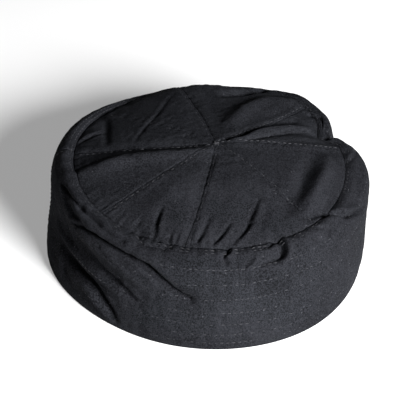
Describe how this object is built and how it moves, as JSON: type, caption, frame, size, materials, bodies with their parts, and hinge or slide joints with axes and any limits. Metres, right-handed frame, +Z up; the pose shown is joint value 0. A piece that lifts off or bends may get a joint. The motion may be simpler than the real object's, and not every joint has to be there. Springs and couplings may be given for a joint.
{
  "type": "skull cap",
  "caption": "Low round cloth cap with a flat wedge-panelled crown, a rolled shoulder and a row-stitched band, worn on the head in a kitchen.",
  "frame": {"origin": "centre of the rim, on the plane that the cap rests on", "axes": "+Z up to the crown, -Y the front, +X the wearer's left when the front faces forwards; the band's ends are joined at -X"},
  "size_m": [0.1861, 0.1862, 0.0703],
  "materials": {
    "shell_cloth": "matt black cotton twill",
    "lining_cloth": "plain black cotton",
    "interlining_cloth": "stiff woven interlining",
    "sewing_thread": "black sewing thread with a faint lustre"
  },
  "bodies": {
    "root": {"band_facing": "lining_cloth", "band_interlining": "interlining_cloth", "band_join_stitch": "sewing_thread", "band_shell": "shell_cloth", "band_stitch_1": "sewing_thread", "band_stitch_2": "sewing_thread", "band_stitch_3": "sewing_thread", "band_stitch_4": "sewing_thread", "band_stitch_5": "sewing_thread", "band_stitch_6": "sewing_thread", "band_stitch_7": "sewing_thread", "centre_tack": "sewing_thread", "crown_lining": "lining_cloth", "crown_panel_1": "shell_cloth", "crown_panel_2": "shell_cloth", "crown_panel_3": "shell_cloth", "crown_panel_4": "shell_cloth", "crown_panel_5": "shell_cloth", "crown_panel_6": "shell_cloth", "crown_panel_7": "shell_cloth", "crown_panel_8": "shell_cloth", "crown_stitch_1": "sewing_thread", "crown_stitch_2": "sewing_thread", "crown_stitch_3": "sewing_thread", "crown_stitch_4": "sewing_thread", "crown_stitch_5": "sewing_thread", "crown_stitch_6": "sewing_thread", "crown_stitch_7": "sewing_thread", "crown_stitch_8": "sewing_thread", "seam_binding": "lining_cloth", "seam_stitch_1": "sewing_thread", "seam_stitch_2": "sewing_thread"}
  },
  "joints": []
}
